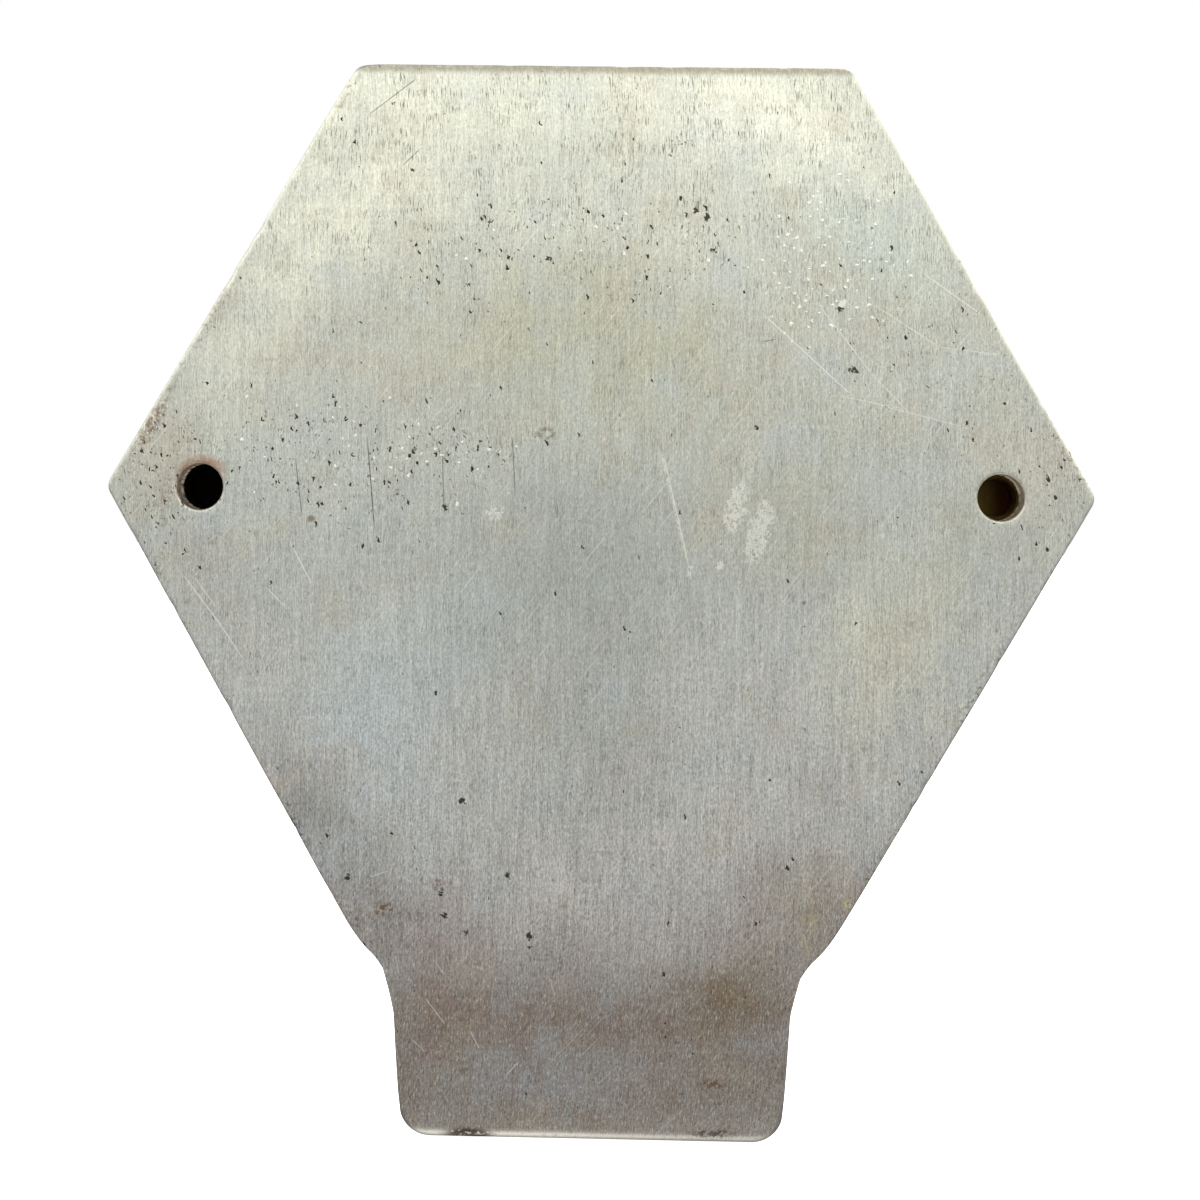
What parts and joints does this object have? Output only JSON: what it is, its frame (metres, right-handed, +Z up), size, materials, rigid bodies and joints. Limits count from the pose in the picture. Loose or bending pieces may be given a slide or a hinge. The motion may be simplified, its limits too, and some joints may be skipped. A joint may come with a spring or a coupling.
{
  "type": "car badge",
  "caption": "Hexagonal plated motoring club car badge with a yellow enamel face, a spoked road wheel in a laurel wreath, a blank number tab and blind screw fixings.",
  "frame": {"origin": "midway between the two fixing holes, on the flat of the badge's back", "axes": "+Z up the badge from the number tab to the top edge; +Y out of the back, the way the fixing screws leave; the enamelled face looks along -Y; X through both fixing holes"},
  "size_m": [0.1094, 0.0095, 0.1209],
  "materials": {
    "nickel": "worn satin nickel plate over brass, brushed up and down",
    "bright_plate": "bright plated casting, dulled by age",
    "yellow_enamel": "fired vitreous enamel, glossy",
    "black_enamel": "fired vitreous enamel, glossy",
    "copper_pegs": "plain copper wire, hidden",
    "brass": "dull tarnished brass"
  },
  "bodies": {
    "root": {"back_plate": "nickel", "field_enamel": "yellow_enamel", "wheel_casting": "bright_plate", "tyre_enamel": "black_enamel", "hub_spinner": "bright_plate", "wheel_pegs": "copper_pegs", "laurel_spray_left": "bright_plate", "laurel_spray_right": "bright_plate", "wreath_clasp": "bright_plate", "wreath_pegs": "copper_pegs", "fixing_cap_left": "bright_plate", "fixing_cap_right": "bright_plate", "captive_nuts": "brass", "number_plaque": "bright_plate", "plaque_enamel": "black_enamel", "plaque_pins": "bright_plate"}
  },
  "joints": []
}
